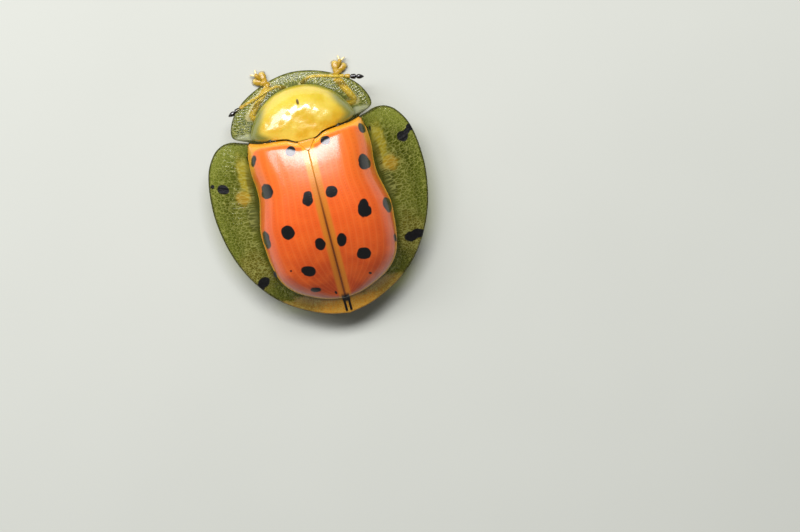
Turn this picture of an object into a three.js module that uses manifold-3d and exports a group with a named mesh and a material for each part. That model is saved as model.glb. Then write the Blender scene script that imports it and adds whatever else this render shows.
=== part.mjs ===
// A spotted tortoise beetle at life size, standing on its six feet.
// Millimetres, +Z up. The head points along -Y and the beetle's left side is +X.
// While the shapes are made, y runs from 0 at the tail to -bodyLength at the front edge.
import * as THREE from "three";
import { mergeVertices } from "three/addons/utils/BufferGeometryUtils.js";
import Module from "manifold-3d";

const wasm = await Module();
wasm.setup();

// Driving sizes
const bodyLength = 14.0; // front edge of the pronotum to the tail
const bodyWidth = 12.3; // across the elytral margins
const topHeight = 5.2; // highest point of the elytra over the floor
const cut = 0.15; // thin cut between pieces that touch
const shell = 0.5; // thickness of the wing covers and of the clear margins
const bellyHeight = 1.45; // underside of the body over the floor
const limbRadius = 0.26; // half the least thickness of a leg
const feelerRadius = 0.25; // half the least thickness of an antenna

// Colours and finishes
const finish = (color, roughness, more = {}) =>
  new THREE.MeshStandardMaterial({ color, roughness, metalness: 0, ...more });
const orange = finish(0xf0641e, 0.22);
const clearMargin = finish(0xa9a63a, 0.18, { transparent: true, opacity: 0.55 });
const yellow = finish(0xe8bd1c, 0.2);
const amber = finish(0xd9a23a, 0.4);
const belly = finish(0xc98a2a, 0.45);
const black = finish(0x0c0b0b, 0.3);
const brown = finish(0x6b3d14, 0.4);

// Numbers and curves

const mix = (a, b, t) => a + (b - a) * t;

// A value read from a short list of [position, value] pairs by a smooth curve.
function along(pairs) {
  const curve = new THREE.CatmullRomCurve3(
    pairs.map(([p, v]) => new THREE.Vector3(p, v, 0)),
    false,
    "centripetal",
  );
  const steps = curve.getPoints(pairs.length * 12);
  return (p) => {
    const next = steps.findIndex((s) => s.x >= p);
    if (next === 0) return steps[0].y;
    if (next < 0) return steps.at(-1).y;
    const [a, b] = [steps[next - 1], steps[next]];
    return mix(a.y, b.y, (p - a.x) / Math.max(b.x - a.x, 1e-9));
  };
}

// A smooth open line in plan through [x, y] points.
const planCurve = (points) =>
  new THREE.CatmullRomCurve3(
    points.map(([x, y]) => new THREE.Vector3(x, y, 0)),
    false,
    "centripetal",
  );

// The point at share u of a plan curve's length, moved to the right of its way by offset.
function planPoint(curve, u, offset = 0) {
  const p = curve.getPointAt(u);
  const d = curve.getTangentAt(u);
  return [p.x + d.y * offset, p.y - d.x * offset];
}

// Solids

const point = (x, y, z) => new THREE.Vector3(x, y, z);

// A closed geometry between two faces given as functions of u and v, both from 0 to 1.
function slab(top, bottom, columns, rows) {
  const positions = [];
  const grid = (face) =>
    Array.from({ length: columns + 1 }, (_, i) =>
      Array.from({ length: rows + 1 }, (_, j) => face(i / columns, j / rows)),
    );
  const [up, down] = [grid(top), grid(bottom)];
  const quad = (a, b, c, d) => {
    for (const p of [a, b, c, a, c, d]) positions.push(p.x, p.y, p.z);
  };
  for (let i = 0; i < columns; i++)
    for (let j = 0; j < rows; j++) {
      quad(up[i][j], up[i + 1][j], up[i + 1][j + 1], up[i][j + 1]);
      quad(down[i][j], down[i][j + 1], down[i + 1][j + 1], down[i + 1][j]);
    }
  for (let i = 0; i < columns; i++) {
    quad(up[i][0], down[i][0], down[i + 1][0], up[i + 1][0]);
    quad(up[i][rows], up[i + 1][rows], down[i + 1][rows], down[i][rows]);
  }
  for (let j = 0; j < rows; j++) {
    quad(up[0][j], up[0][j + 1], down[0][j + 1], down[0][j]);
    quad(up[columns][j], down[columns][j], down[columns][j + 1], up[columns][j + 1]);
  }
  return new THREE.BufferGeometry().setAttribute(
    "position",
    new THREE.Float32BufferAttribute(positions, 3),
  );
}

// A closed round limb along a smooth line, its half widths and half heights given by lists.
function limb(points, halfWidths, halfHeights, rings, sides) {
  const line = new THREE.CatmullRomCurve3(
    points.map((p) => point(...p)),
    false,
    "centripetal",
  );
  const pick = (list, u) => {
    const at = u * (list.length - 1);
    const i = Math.min(Math.floor(at), list.length - 2);
    return mix(list[i], list[i + 1], at - i);
  };
  const positions = [];
  const loops = [];
  for (let i = 0; i <= rings; i++) {
    const u = i / rings;
    const centre = line.getPointAt(u);
    const tangent = line.getTangentAt(u);
    const across = new THREE.Vector3().crossVectors(point(0, 0, 1), tangent).normalize();
    const upward = new THREE.Vector3().crossVectors(tangent, across);
    loops.push(
      Array.from({ length: sides }, (_, k) => {
        const turn = (2 * Math.PI * k) / sides;
        return centre
          .clone()
          .addScaledVector(across, Math.cos(turn) * pick(halfWidths, u))
          .addScaledVector(upward, Math.sin(turn) * pick(halfHeights, u));
      }),
    );
  }
  const face = (a, b, c) => {
    for (const p of [a, b, c]) positions.push(p.x, p.y, p.z);
  };
  for (let i = 0; i < rings; i++)
    for (let k = 0; k < sides; k++) {
      const m = (k + 1) % sides;
      face(loops[i][k], loops[i][m], loops[i + 1][m]);
      face(loops[i][k], loops[i + 1][m], loops[i + 1][k]);
    }
  const [first, last] = [line.getPointAt(0), line.getPointAt(1)];
  for (let k = 0; k < sides; k++) {
    const m = (k + 1) % sides;
    face(first, loops[0][m], loops[0][k]);
    face(last, loops[rings][k], loops[rings][m]);
  }
  return new THREE.BufferGeometry().setAttribute(
    "position",
    new THREE.Float32BufferAttribute(positions, 3),
  );
}

// A rounded body of the given half sizes, turned about Z.
function pebble([x, y, z], [a, b, c], turn = 0, wide = 10, high = 7) {
  return new THREE.SphereGeometry(1, wide, high)
    .rotateX(Math.PI / 2)
    .scale(a, b, c)
    .rotateZ(turn)
    .translate(x, y, z);
}

// A geometry as a solid for cutting and joining, its faces turned outwards.
function solid(geometry) {
  const bare = geometry.clone();
  for (const name of ["normal", "uv"]) bare.deleteAttribute(name);
  const merged = mergeVertices(bare, 1e-4);
  const corners = merged.index.array;
  const faces = [];
  for (let i = 0; i < corners.length; i += 3) {
    const [a, b, c] = corners.subarray(i, i + 3);
    if (a !== b && b !== c && a !== c) faces.push([a, b, c]);
  }
  const made = (order) =>
    new wasm.Manifold(
      new wasm.Mesh({
        numProp: 3,
        vertProperties: new Float32Array(merged.attributes.position.array),
        triVerts: new Uint32Array(faces.flatMap(order)),
      }),
    );
  const asLaid = made((face) => face);
  return asLaid.volume() > 0 ? asLaid : made(([a, b, c]) => [a, c, b]);
}

const box = (low, high) =>
  solid(
    new THREE.BoxGeometry(high[0] - low[0], high[1] - low[1], high[2] - low[2]).translate(
      (low[0] + high[0]) / 2,
      (low[1] + high[1]) / 2,
      (low[2] + high[2]) / 2,
    ),
  );

const joined = (geometries) => geometries.map(solid).reduce((all, one) => all.add(one));

// The largest closed surface of a solid, as a geometry.
function geometryOf(made) {
  const [largest] = made.decompose().sort((a, b) => b.volume() - a.volume());
  const { vertProperties, triVerts, numProp } = largest.getMesh();
  const positions = [];
  for (const v of triVerts)
    positions.push(...vertProperties.subarray(v * numProp, v * numProp + 3));
  const geometry = new THREE.BufferGeometry().setAttribute(
    "position",
    new THREE.Float32BufferAttribute(positions, 3),
  );
  geometry.computeVertexNormals();
  return geometry;
}

const beetle = new THREE.Group();

function addNode(name, made, material) {
  const mesh = new THREE.Mesh(geometryOf(made), material);
  mesh.name = name;
  beetle.add(mesh);
}

const sides = { left: 1, right: -1 };
const mirrored = (made, side) => (side > 0 ? made : made.mirror([1, 0, 0]));

// Elytra: one thin domed shell on each side of the suture

const halfWidth = bodyWidth / 2;
// Hind edge of the pronotum at a distance from the middle line; the wing covers follow it
const pronotumBack = along([
  [0, -10.0],
  [0.55, -10.03],
  [1.05, -10.28],
  [1.8, -10.41],
  [2.5, -10.5],
  [3.2, -10.72],
  [3.98, -11.12],
]);
const shoulder = 3.15;
const coverFront = (x) => pronotumBack(x) + cut;
const discTail = -0.92;
// From the shoulder round the side to the tail
const discEdge = planCurve([
  [shoulder, coverFront(shoulder)],
  [3.4, -9.75],
  [3.48, -8.9],
  [3.4, -8.1],
  [3.42, -7.3],
  [3.6, -6.5],
  [3.78, -5.6],
  [3.74, -4.6],
  [3.62, -3.6],
  [3.3, -2.6],
  [2.7, -1.9],
  [1.8, -1.38],
  [0.9, -1.05],
  [cut / 2, discTail],
]);
const ridgeHeight = along([
  [-10.2, 4.3],
  [-9.0, 4.9],
  [-7.4, topHeight],
  [-5.8, 5.1],
  [-4.3, 4.65],
  [-3.0, 3.95],
  [-2.0, 3.25],
  [-1.3, 2.75],
  [-0.9, 2.5],
]);
const rimHeight = along([
  [0, 3.1],
  [0.06, 2.85],
  [0.2, 2.65],
  [0.6, 2.55],
  [0.85, 2.45],
  [1, 2.35],
]);
// Height share from the suture, at 0, to the rim, at 1
const domeShare = (t) => Math.pow(Math.max(0, 1 - Math.pow(t, 2.4)), 0.66);

// A point of the dome over one side, inset from the rim and dropped below the outer face.
function domePoint(u, t, inset, drop, start = cut / 2) {
  const [edgeX, edgeY] = planPoint(discEdge, u, -inset);
  const sutureY = mix(coverFront(0), discTail - inset * u, Math.pow(u, 0.92));
  const x = mix(start, Math.max(edgeX, start), t);
  const straightY = mix(sutureY, edgeY, t);
  const bend = (coverFront(x) + inset * t - straightY) * Math.max(0, 1 - u * 5) ** 2;
  const rim = rimHeight(u) - Math.min(drop, shell);
  return point(x, straightY + bend, rim + (ridgeHeight(sutureY) - drop - rim) * domeShare(t));
}

const scutellum = { halfWidth: 0.6, front: coverFront(0), tip: -9.05 };

// A wedge over the scutellum's triangle, grown by a margin on every side.
function scutellumWedge(grow, low, high) {
  const shape = new THREE.Shape([
    new THREE.Vector2(-scutellum.halfWidth - grow, scutellum.front - 0.6),
    new THREE.Vector2(scutellum.halfWidth + grow, scutellum.front - 0.6),
    new THREE.Vector2(scutellum.halfWidth + grow, scutellum.front + grow),
    new THREE.Vector2(0, scutellum.tip + grow * 1.8),
    new THREE.Vector2(-scutellum.halfWidth - grow, scutellum.front + grow),
  ]);
  return solid(
    new THREE.ExtrudeGeometry(shape, { depth: high - low, bevelEnabled: false }).translate(0, 0, low),
  );
}

// The scutellum: a small three-cornered plate level with the covers round it
function scutellumPlate() {
  const at = (u, t, drop) => {
    const y = mix(scutellum.front, scutellum.tip, u);
    const x = scutellum.halfWidth * mix(1, 0.08, u ** 1.2) * (2 * t - 1);
    return point(x, y, ridgeHeight(y) - 0.06 * x * x - drop);
  };
  return solid(slab((u, t) => at(u, t, 0), (u, t) => at(u, t, shell), 5, 6));
}

function elytron(side) {
  const cover = solid(
    slab(
      (u, t) => domePoint(u, t, 0, 0),
      (u, t) => domePoint(u, t, shell * 0.9, shell),
      22,
      9,
    ),
  );
  return mirrored(cover.subtract(scutellumWedge(cut, 2.5, 6)), side);
}

// Clear margins with the veins of their net raised in the upper face

const veinHeight = 0.08;
const veinStep = 2; // columns from one vein to the next

function veined(columns, u, t) {
  const column = Math.round(u * columns);
  const fade = Math.sin(Math.PI * Math.min(1, Math.max(0, t)));
  return column % veinStep === 0 ? 0 : veinHeight * fade;
}

const marginColumns = 64;
const marginEdge = planCurve([
  [4.0, -10.95],
  [4.3, -10.99],
  [4.7, -10.95],
  [5.15, -10.72],
  [5.52, -10.3],
  [5.82, -9.75],
  [6.02, -9.0],
  [halfWidth - 0.02, -8.1],
  [halfWidth, -7.1],
  [6.02, -6.0],
  [5.78, -4.95],
  [5.4, -3.95],
  [4.85, -2.95],
  [4.15, -2.05],
  [3.3, -1.3],
  [2.3, -0.7],
  [1.2, -0.25],
  [cut / 2, 0],
]);
const marginRim = along([
  [0, 2.05],
  [0.15, 1.8],
  [0.4, 1.62],
  [0.75, 1.62],
  [1, 1.75],
]);

function marginPoint(u, t, drop) {
  const [inX, inY] = planPoint(discEdge, u, cut);
  const [outX, outY] = planPoint(marginEdge, u);
  const inner = rimHeight(u) - 0.04;
  const z = marginRim(u) + (inner - marginRim(u)) * Math.pow(1 - t, 1.5);
  const vein = drop ? 0 : veined(marginColumns, u, t);
  return point(
    Math.max(mix(inX, outX, t), cut / 2),
    mix(inY, outY, t),
    z - drop * mix(1, 0.75, t) + vein,
  );
}

const elytralMargin = (side) =>
  mirrored(
    solid(
      slab(
        (u, t) => marginPoint(u, t, 0),
        (u, t) => marginPoint(u, t, shell),
        marginColumns,
        3,
      ),
    ),
    side,
  );

// Pronotum: a domed disc, and a clear margin round its front and sides

// From the middle of the hind edge to the middle of the front edge, on the left
const pronotumDiscHalf = [
  ...[0, 0.55, 1.05, 1.5, 2.2, 2.75].map((x) => [x, pronotumBack(x)]),
  [2.98, -10.8],
  [2.86, -11.2],
  [2.6, -11.75],
  [2.3, -12.2],
  [1.85, -12.6],
  [1.3, -12.93],
  [0.7, -13.13],
  [0, -13.2],
];
// The points of the right side, from the last of the left side's back to its first
const otherSide = (half) => half.map(([x, y]) => [-x, y]).reverse();
const pronotumOutline = new THREE.CatmullRomCurve3(
  [...pronotumDiscHalf, ...otherSide(pronotumDiscHalf.slice(1, -1))].map(([x, y]) => point(x, y, 0)),
  true,
  "centripetal",
);
const pronotumCentre = point(0, -11.35, 0);
// Height of the disc's rim at a distance from the middle line and at a place along it
const pronotumRim = (x, y) => {
  const back = THREE.MathUtils.smoothstep(y, -12.6, -10.2);
  return mix(2.72, 4.15 - 0.13 * x * x, back);
};
const pronotumTop = 4.35;

function pronotumPoint(u, t, drop) {
  const edge = pronotumOutline.getPointAt(u % 1);
  const x = mix(pronotumCentre.x, edge.x, t);
  const y = mix(pronotumCentre.y, edge.y, t);
  const rim = pronotumRim(edge.x, edge.y);
  const z = rim + (pronotumTop - 0.05 - rim) * Math.pow(Math.max(0, 1 - t ** 2.2), 0.72);
  return point(x, y, drop ? Math.min(z - 0.3, mix(3.0, rim - shell, t)) : z);
}

// The disc as a round slab: the seam between its first and last column is closed by merging.
function pronotumDisc() {
  const [columns, rows] = [36, 6];
  const positions = [];
  const face = (a, b, c) => {
    for (const p of [a, b, c]) positions.push(p.x, p.y, p.z);
  };
  const at = (i, j, drop) => pronotumPoint((i % columns) / columns, j / rows, drop);
  for (let i = 0; i < columns; i++) {
    for (let j = 0; j < rows; j++) {
      const [a, b, c, d] = [at(i, j, 0), at(i, j + 1, 0), at(i + 1, j + 1, 0), at(i + 1, j, 0)];
      const [e, f, g, h] = [at(i, j, 1), at(i, j + 1, 1), at(i + 1, j + 1, 1), at(i + 1, j, 1)];
      face(a, b, c);
      face(e, g, f);
      if (j > 0) {
        face(a, c, d);
        face(e, h, g);
      }
    }
    const [a, b] = [at(i, rows, 0), at(i + 1, rows, 0)];
    const [c, d] = [at(i + 1, rows, 1), at(i, rows, 1)];
    face(a, d, c);
    face(a, c, b);
  }
  return solid(
    new THREE.BufferGeometry().setAttribute(
      "position",
      new THREE.Float32BufferAttribute(positions, 3),
    ),
  );
}

const pronotumMarginColumns = 48;
const bothSides = (half) => [...half, ...otherSide(half.slice(0, -1))];
const pronotumMarginInner = planCurve(
  bothSides([
    [2.98, -10.75],
    [2.88, -11.2],
    [2.6, -11.75],
    [2.3, -12.2],
    [1.85, -12.6],
    [1.3, -12.93],
    [0.7, -13.13],
    [0, -13.2],
  ]),
);
const pronotumMarginOuter = planCurve(
  bothSides([
    [3.98, -11.12],
    [4.06, -11.4],
    [3.95, -11.85],
    [3.7, -12.3],
    [3.3, -12.75],
    [2.75, -13.15],
    [2.0, -13.55],
    [1.05, -13.87],
    [0, -bodyLength],
  ]),
);

function pronotumMarginPoint(u, t, drop) {
  const [inX, inY] = planPoint(pronotumMarginInner, u, -cut);
  const [outX, outY] = planPoint(pronotumMarginOuter, u);
  const outer = 2.52;
  const inner = pronotumRim(inX, inY) - 0.05;
  const z = outer + (inner - outer) * Math.pow(1 - t, 1.6);
  const vein = drop ? 0 : veined(pronotumMarginColumns, u, t);
  return point(mix(inX, outX, t), mix(inY, outY, t), z - drop * mix(1, 0.8, t) + vein);
}

const pronotumMargin = () =>
  solid(
    slab(
      (u, t) => pronotumMarginPoint(1 - u, t, 0),
      (u, t) => pronotumMarginPoint(1 - u, t, shell),
      pronotumMarginColumns,
      2,
    ),
  );

// Body under the wing covers: thorax and abdomen, parted by a thin cut

const waist = -6.35; // where the thorax ends and the abdomen starts
const bodyInset = shell + cut; // from the covers' rim to the body's side
const sternites = 5;

function bodyPoint(u, across, under) {
  const t = Math.abs(across);
  const p = domePoint(u, t, bodyInset, shell + cut, 0);
  if (across < 0) p.x = -p.x;
  if (!under) return p;
  const band = ((waist - p.y) / (waist - discTail)) * sternites;
  const step = p.y > waist ? 0.16 * (band - Math.floor(band)) : 0.06;
  const keel = 0.2 * (1 - t) * THREE.MathUtils.smoothstep(p.y, -9.5, -3);
  p.z = Math.min(p.z - 0.05, bellyHeight + 0.75 * Math.pow(t, 5) + step + keel);
  return p;
}

function bodyDome() {
  const v = (t) => 2 * t - 1;
  return solid(
    slab(
      (u, t) => bodyPoint(u, -v(t), false),
      (u, t) => bodyPoint(u, -v(t), true),
      26,
      10,
    ),
  );
}

// Prothorax: what carries the pronotum, the head and the front legs

const prothoraxFront = -12.35;
const prothoraxBack = coverFront(0) - 0.4;

function prothorax() {
  const [wide, back, front] = [1.75, prothoraxBack, prothoraxFront];
  return solid(
    slab(
      (u, t) => point((0.5 - t) * 2 * mix(wide, wide * 0.8, u), mix(back, front, u), mix(2.8, 2.0, u)),
      (u, t) =>
        point(
          (0.5 - t) * 2 * mix(wide, wide * 0.8, u),
          mix(back, front, u),
          bellyHeight + 0.15 + 0.5 * Math.abs(1 - 2 * t) ** 3,
        ),
      6,
      8,
    ),
  );
}

// Head: tucked under the pronotum, its face turned down and forwards

const headCentre = [0, -12.8, 1.62];
const headHalf = [0.92, 0.38, 0.58];
const faceCentre = [0, -13.04, 1.3];
const faceHalf = [0.42, 0.26, 0.34];

// The skull and the face shield, grown by a margin on every side
const skull = (grow) =>
  joined([
    pebble(headCentre, headHalf.map((h) => h + grow), 0, 14, 9),
    pebble(faceCentre, faceHalf.map((h) => h + grow), 0, 10, 7),
  ]);
const eyeball = (side, grow) =>
  solid(pebble([side * 0.86, -12.82, 1.72], [0.3, 0.34, 0.4].map((h) => h + grow), 0, 12, 8));

const head = () => skull(0).subtract(box([-2, prothoraxFront - cut, 0], [2, -11, 4]));
const eye = (side) => eyeball(side, 0).subtract(skull(cut / 2));

// Mouthparts: an upper lip, two jaws and two feelers below the face
const mouthparts = () =>
  joined([
    pebble([0, -13.1, 0.8], [0.3, 0.2, 0.16], 0, 8, 6),
    pebble([0.18, -13.08, 0.7], [0.17, 0.22, 0.18], -0.5, 8, 6),
    pebble([-0.18, -13.08, 0.7], [0.17, 0.22, 0.18], 0.5, 8, 6),
    ...[1, -1].map((side) =>
      limb(
        [
          [side * 0.2, -13.03, 0.78],
          [side * 0.45, -13.08, 0.68],
          [side * 0.58, -13.2, 0.46],
        ],
        [0.12, 0.13, 0.06],
        [0.12, 0.13, 0.06],
        4,
        6,
      ),
    ),
  ]).subtract(skull(cut / 3));

// Antennae: eleven joints along one curve, the last ones in a black club

const feelerLine = [
  [0.42, -13.2, 1.6],
  [0.95, -13.42, 1.56],
  [1.6, -13.3, 1.56],
  [2.3, -13.05, 1.58],
  [2.9, -12.85, 1.6],
  [3.45, -12.66, 1.62],
  [4.02, -12.46, 1.62],
];
const feelerSweep = { left: 0, right: 0.09 }; // how far forward each antenna is swung, for each mm outwards
const feelerJoints = 11;
const clubShare = 0.82; // where the black club starts along the curve
const feelerGap = 0.03;

// One stretch of an antenna, its joints swelling one by one.
function feeler(side, from, to, joints, taper) {
  const sweep = side > 0 ? feelerSweep.left : feelerSweep.right;
  const line = new THREE.CatmullRomCurve3(
    feelerLine.map(([x, y, z]) => point(side * x, y - sweep * x, z)),
    false,
    "centripetal",
  );
  const ringsPerJoint = 3;
  const rings = joints * ringsPerJoint;
  const points = [];
  const radii = [];
  for (let i = 0; i <= rings; i++) {
    const u = i / rings;
    const p = line.getPointAt(mix(from, to, u));
    points.push([p.x, p.y, p.z]);
    const phase = i % ringsPerJoint;
    const swell = phase === 0 ? 0.86 : 1.06;
    radii.push(feelerRadius * swell * mix(0.86, 1, Math.min(1, u * 3)) * taper(u));
  }
  return solid(limb(points, radii, radii, rings, 8));
}

const shaft = (side) =>
  feeler(side, 0, clubShare - feelerGap, feelerJoints - 3, () => 1)
    .subtract(skull(cut / 3))
    .subtract(eyeball(side, cut / 3));
const club = (side) =>
  feeler(side, clubShare + feelerGap / 2, 1, 3, (u) => (u > 0.7 ? mix(1, 0.3, (u - 0.7) / 0.3) : 1.06));

// Legs: hip and thigh, shin, and lobed foot with two claws

// Plan places are [x, y] away from the middle line; heights are over the floor.
const frontHip = [0.7, -11.35];
const legs = {
  front: {
    left: { hip: frontHip, knee: [2.85, -12.1], ankle: [1.42, -13.64], toe: [2.08, -14.6], kneeZ: 1.2 },
    right: { hip: frontHip, knee: [3.25, -11.6], ankle: [2.4, -13.22], toe: [2.97, -14.28], kneeZ: 1.2 },
  },
  middle: { hip: [1.0, -8.75], knee: [3.15, -8.4], ankle: [3.85, -7.0], toe: [4.3, -5.95], kneeZ: 1.12 },
  hind: { hip: [1.15, -6.95], knee: [2.75, -5.3], ankle: [3.4, -3.8], toe: [3.75, -2.75], kneeZ: 1.12 },
};
const ankleHeight = 0.52;
const hipRadius = 0.48;

// The point a distance along the way from one point to another.
function towards(from, to, distance) {
  const way = to.clone().sub(from);
  return from.clone().addScaledVector(way.normalize(), distance);
}

const places = (plan, side) => ({
  hip: point(side * plan.hip[0], plan.hip[1], bellyHeight - cut - 0.3),
  knee: point(side * plan.knee[0], plan.knee[1], plan.kneeZ),
  ankle: point(side * plan.ankle[0], plan.ankle[1], ankleHeight),
  toe: point(side * plan.toe[0], plan.toe[1], 0.2),
});

const list = (v) => [v.x, v.y, v.z];

function thigh({ hip, knee }) {
  const middle = hip.clone().lerp(knee, 0.5).add(point(0, 0, 0.06));
  const r = limbRadius;
  return joined([
    pebble(list(hip), [hipRadius, hipRadius * 0.9, hipRadius * 0.8], 0, 10, 6),
    limb(
      [list(hip), list(middle), list(knee)],
      [r, r * 1.35, r * 1.5, r * 1.25, r * 0.9],
      [r, r * 1.2, r * 1.25, r * 1.1, r * 0.85],
      6,
      8,
    ),
  ]).subtract(box([-6, -15, bellyHeight - cut], [6, 0, 4]));
}

function shin({ knee, ankle }) {
  const start = towards(knee, ankle, cut * 2.4);
  const middle = start.clone().lerp(ankle, 0.5).add(point(0, 0, 0.05));
  const r = limbRadius;
  return solid(
    limb(
      [list(start), list(middle), list(ankle)],
      [r * 0.92, r, r, r * 1.1, r * 1.2],
      [r * 0.92, r, r, r, r * 0.95],
      5,
      8,
    ),
  );
}

// The foot widens over three joints to a split pad, with a claw joint beyond it.
function foot({ ankle, toe }) {
  const start = towards(ankle, toe, cut * 2);
  const way = toe.clone().sub(start);
  const length = way.length();
  const turn = Math.atan2(way.y, way.x) - Math.PI / 2;
  const at = (share, sideways, z) => {
    const p = start.clone().addScaledVector(way, share);
    p.x += Math.cos(turn) * sideways;
    p.y += Math.sin(turn) * sideways;
    p.z = z;
    return list(p);
  };
  const joints = [0.12, 0.34].map((share, i) =>
    pebble(at(share, 0, mix(0.34, 0.22, share * 2)), [0.25 + 0.07 * i, length * 0.2, 0.26], turn, 8, 5),
  );
  const pads = [-1, 1].map((s) =>
    pebble(at(0.62, s * 0.2, 0.18), [0.24, length * 0.24, 0.24], turn - s * 0.25, 8, 5),
  );
  const clawJoint = limb(
    [at(0.45, 0, 0.3), at(0.75, 0, 0.34), at(0.93, 0, 0.26)],
    [0.15, 0.15, 0.17],
    [0.15, 0.15, 0.15],
    3,
    6,
  );
  const claws = [-1, 1].map((s) =>
    limb(
      [at(0.86, s * 0.04, 0.28), at(0.98, s * 0.17, 0.26), at(1.08, s * 0.22, 0.1)],
      [0.12, 0.1, 0.03],
      [0.12, 0.1, 0.03],
      3,
      5,
    ),
  );
  const belowFloor = box([-9, -18, -2], [9, 3, 0]);
  return joined([...joints, ...pads, clawJoint, ...claws]).subtract(belowFloor);
}

// Assembly

for (const [name, side] of Object.entries(sides)) {
  addNode("elytron_" + name, elytron(side), orange);
  addNode("elytral_margin_" + name, elytralMargin(side), clearMargin);
  addNode("eye_" + name, eye(side), black);
  addNode("antenna_" + name, shaft(side), amber);
  addNode("antenna_club_" + name, club(side), black);
  for (const [pair, plans] of Object.entries(legs)) {
    const spots = places(plans[name] ?? plans, side);
    addNode(`leg_${pair}_${name}_femur`, thigh(spots), amber);
    addNode(`leg_${pair}_${name}_tibia`, shin(spots), amber);
    addNode(`leg_${pair}_${name}_tarsus`, foot(spots), amber);
  }
}
addNode("pronotum_disc", pronotumDisc(), yellow);
addNode("pronotum_margin", pronotumMargin(), clearMargin);
addNode("scutellum", scutellumPlate(), yellow);
const dome = bodyDome();
addNode("thorax", dome.intersect(box([-6, -12, 0], [6, waist - cut / 2, 6])), belly);
addNode("abdomen", dome.intersect(box([-6, waist + cut / 2, 0], [6, 1, 6])), belly);
addNode("prothorax", prothorax(), belly);
addNode("head", head(), amber);
addNode("mouthparts", mouthparts(), brown);

// Origin: the floor point under the middle of the whole beetle
const extent = new THREE.Box3().setFromObject(beetle);
const middle = extent.getCenter(new THREE.Vector3());
beetle.position.set(-middle.x, -middle.y, -extent.min.z);

export default beetle;
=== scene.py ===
import bisect
import math
import bmesh
import bpy
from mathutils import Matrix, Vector, noise


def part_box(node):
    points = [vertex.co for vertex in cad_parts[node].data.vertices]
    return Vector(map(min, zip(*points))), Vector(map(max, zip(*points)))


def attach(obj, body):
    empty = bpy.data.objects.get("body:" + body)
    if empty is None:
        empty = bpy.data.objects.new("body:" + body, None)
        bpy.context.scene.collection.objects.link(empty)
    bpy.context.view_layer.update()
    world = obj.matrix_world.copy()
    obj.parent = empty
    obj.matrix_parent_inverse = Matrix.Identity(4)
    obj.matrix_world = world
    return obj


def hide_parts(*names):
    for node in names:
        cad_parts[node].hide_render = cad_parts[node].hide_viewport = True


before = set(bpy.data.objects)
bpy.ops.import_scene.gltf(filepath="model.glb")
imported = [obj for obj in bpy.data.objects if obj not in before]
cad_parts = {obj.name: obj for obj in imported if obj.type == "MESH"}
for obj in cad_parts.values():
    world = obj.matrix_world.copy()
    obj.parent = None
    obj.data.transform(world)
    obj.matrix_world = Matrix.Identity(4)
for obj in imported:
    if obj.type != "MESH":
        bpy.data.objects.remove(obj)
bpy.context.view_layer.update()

# A tortoise beetle standing still. Every size below is in millimetres. y runs from 0 at the tail to
# -14 at the front edge, +x is the beetle's left side and z is the height over the floor.
mm = 0.001
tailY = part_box("elytral_margin_left")[1].y / mm


def place(x, y, z):
    return Vector((x, y + tailY, z)) * mm


def planPlace(co):
    # the way back from a placed vertex to the beetle's own x and y
    return co.x / mm, co.y / mm - tailY


def mix(a, b, t):
    return a + (b - a) * t


def clamp(t):
    return min(1.0, max(0.0, t))


def smooth(low, high, t):
    t = clamp((t - low) / (high - low))
    return t * t * (3 - 2 * t)


def splinePoint(p0, p1, p2, p3, t):
    # one point of a centripetal Catmull-Rom span from p1 to p2
    knots = [0.0]
    for a, b in ((p0, p1), (p1, p2), (p2, p3)):
        knots.append(knots[-1] + max(math.sqrt((b - a).length), 1e-6))
    k0, k1, k2, k3 = knots
    k = mix(k1, k2, t)
    a1 = p0 * ((k1 - k) / (k1 - k0)) + p1 * ((k - k0) / (k1 - k0))
    a2 = p1 * ((k2 - k) / (k2 - k1)) + p2 * ((k - k1) / (k2 - k1))
    a3 = p2 * ((k3 - k) / (k3 - k2)) + p3 * ((k - k2) / (k3 - k2))
    b1 = a1 * ((k2 - k) / (k2 - k0)) + a2 * ((k - k0) / (k2 - k0))
    b2 = a2 * ((k3 - k) / (k3 - k1)) + a3 * ((k - k1) / (k3 - k1))
    return b1 * ((k2 - k) / (k2 - k1)) + b2 * ((k - k1) / (k2 - k1))


def splineSamples(points, closed=False, perSpan=24):
    pts = [Vector((*p, 0.0)[:3]) for p in points]
    count = len(pts)
    samples = []
    for i in range(count if closed else count - 1):
        p1, p2 = pts[i], pts[(i + 1) % count]
        p0 = pts[i - 1] if closed or i else p1 * 2 - p2
        p3 = pts[(i + 2) % count] if closed or i + 2 < count else p2 * 2 - p1
        samples += [splinePoint(p0, p1, p2, p3, k / perSpan) for k in range(perSpan)]
    samples.append(pts[0] if closed else pts[-1])
    return samples


def smoothLine(points):
    # a function of the share of the line's length: (point, direction)
    samples = splineSamples(points)
    lengths = [0.0]
    for a, b in zip(samples, samples[1:]):
        lengths.append(lengths[-1] + (b - a).length)

    def at(share):
        want = clamp(share) * lengths[-1]
        i = min(max(bisect.bisect_left(lengths, want), 1), len(samples) - 1)
        a, b = samples[i - 1], samples[i]
        step = max(lengths[i] - lengths[i - 1], 1e-9)
        return a.lerp(b, (want - lengths[i - 1]) / step), (b - a).normalized()

    return at


def along(pairs):
    # a value read off a short list of (place, value) pairs by a smooth line
    samples = splineSamples(pairs)
    places = [s.x for s in samples]

    def at(p):
        i = bisect.bisect_left(places, p)
        if i <= 0:
            return samples[0].y
        if i >= len(samples):
            return samples[-1].y
        a, b = samples[i - 1], samples[i]
        return mix(a.y, b.y, (p - a.x) / max(b.x - a.x, 1e-9))

    return at


def newMesh():
    bm = bmesh.new()
    bm.loops.layers.uv.new("skin")
    return bm


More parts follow.
